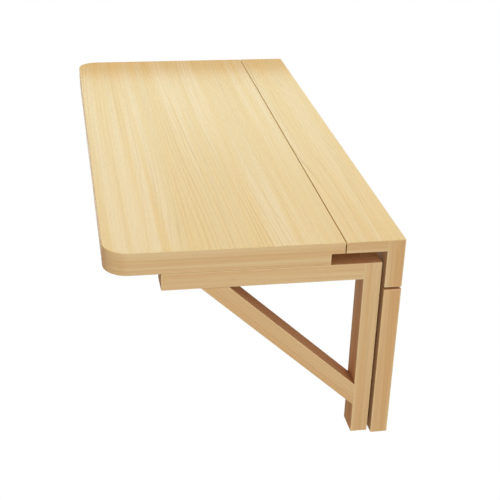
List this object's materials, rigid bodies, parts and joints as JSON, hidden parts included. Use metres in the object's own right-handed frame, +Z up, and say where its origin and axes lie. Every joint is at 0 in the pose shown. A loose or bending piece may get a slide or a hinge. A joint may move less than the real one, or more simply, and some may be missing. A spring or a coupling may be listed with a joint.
{
  "type": "wall mounted drop leaf table",
  "caption": "Wall mounted drop leaf table in pale pine: a narrow fixed shelf on a back rail, a hinged leaf with rounded front corners, and folding gate brackets that carry the leaf.",
  "frame": {"origin": "middle of the back rail's wall face, halfway between its ends and halfway up the rail", "axes": "+X along the table's length, +Y into the wall, +Z up; the table reaches towards -Y"},
  "size_m": [1, 0.479, 0.3705],
  "materials": {
    "top_pine": "satin",
    "frame_pine": "satin",
    "beech": "matte",
    "hinge_steel": "satin",
    "fastener_steel": "satin"
  },
  "bodies": {
    "wall_frame": {"fixed_shelf": "top_pine", "back_rail": "frame_pine", "shelf_dowels": "beech", "left_wall_post": "frame_pine", "right_wall_post": "frame_pine", "left_shelf_plate": "hinge_steel", "middle_shelf_plate": "hinge_steel", "right_shelf_plate": "hinge_steel", "leaf_hinge_pins": "fastener_steel", "shelf_plate_screws": "fastener_steel", "left_upper_wall_plate": "hinge_steel", "left_lower_wall_plate": "hinge_steel", "right_upper_wall_plate": "hinge_steel", "right_lower_wall_plate": "hinge_steel", "bracket_hinge_pins": "fastener_steel", "wall_plate_screws": "fastener_steel"},
    "leaf": {"leaf_top_board": "top_pine", "leaf_under_board": "frame_pine", "left_leaf_plate": "hinge_steel", "middle_leaf_plate": "hinge_steel", "right_leaf_plate": "hinge_steel", "leaf_plate_screws": "fastener_steel"},
    "left_bracket": {"left_bracket_post": "frame_pine", "left_bracket_arm": "frame_pine", "left_bracket_brace": "frame_pine", "left_bracket_dowels": "beech", "left_upper_bracket_plate": "hinge_steel", "left_lower_bracket_plate": "hinge_steel", "left_bracket_screws": "fastener_steel"},
    "right_bracket": {"right_bracket_post": "frame_pine", "right_bracket_arm": "frame_pine", "right_bracket_brace": "frame_pine", "right_bracket_dowels": "beech", "right_upper_bracket_plate": "hinge_steel", "right_lower_bracket_plate": "hinge_steel", "right_bracket_screws": "fastener_steel"}
  },
  "joints": [
    {"name": "leaf_hinge", "type": "hinge", "parent": "wall_frame", "child": "leaf", "pos_m": [0, -0.098, 0.0295], "axis": [-1, 0, 0], "range_deg": [0, 3]},
    {"name": "left_bracket_swing", "type": "hinge", "parent": "wall_frame", "child": "left_bracket", "pos_m": [-0.4512, -0.0325, 0], "axis": [0, 0, 1], "range_deg": [0, 90]},
    {"name": "right_bracket_swing", "type": "hinge", "parent": "wall_frame", "child": "right_bracket", "pos_m": [0.4512, -0.0325, 0], "axis": [0, 0, -1], "range_deg": [0, 90]}
  ]
}
